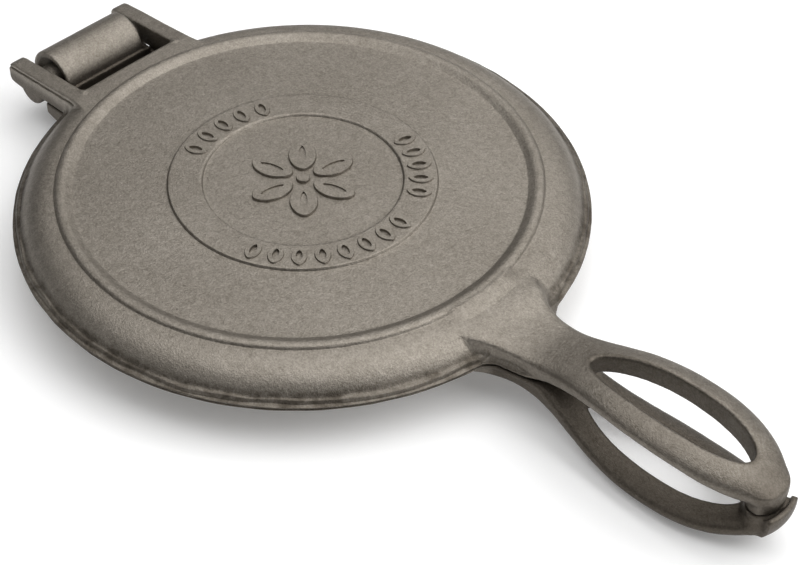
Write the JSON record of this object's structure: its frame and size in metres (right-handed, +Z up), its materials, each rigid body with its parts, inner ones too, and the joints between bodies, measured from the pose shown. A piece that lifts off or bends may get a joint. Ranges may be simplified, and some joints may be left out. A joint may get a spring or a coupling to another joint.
{
  "type": "stovetop waffle iron",
  "caption": "Round cast-iron stovetop waffle iron that opens on a hook-and-bar hinge, with looped handles, raised heat rings and a waffle grid inside.",
  "frame": {"origin": "bottom centre of the bounding box of the closed iron, level with the lowest point of the lower handle's loop", "axes": "+X from the hinge towards the handles, +Y across, parallel to the hinge bar, +Z up, square to the plates"},
  "size_m": [0.368, 0.222, 0.0362],
  "materials": {
    "bare_iron": "matt, sand-cast, grey",
    "cooking_iron": "seasoned, dark, satin"
  },
  "bodies": {
    "lower_half": {"lower_plate": "bare_iron", "lower_waffle_grid": "cooking_iron", "lower_handle": "bare_iron", "hinge_hook": "bare_iron"},
    "upper_half": {"upper_plate": "bare_iron", "upper_waffle_grid": "cooking_iron", "upper_handle": "bare_iron", "hinge_ear_left": "bare_iron", "hinge_ear_right": "bare_iron", "hinge_bar": "bare_iron"}
  },
  "joints": [
    {"name": "lid_hinge", "type": "hinge", "parent": "lower_half", "child": "upper_half", "pos_m": [-0.16975, 0, 0.01808], "axis": [0, -1, 0], "range_deg": [0, 120]}
  ]
}
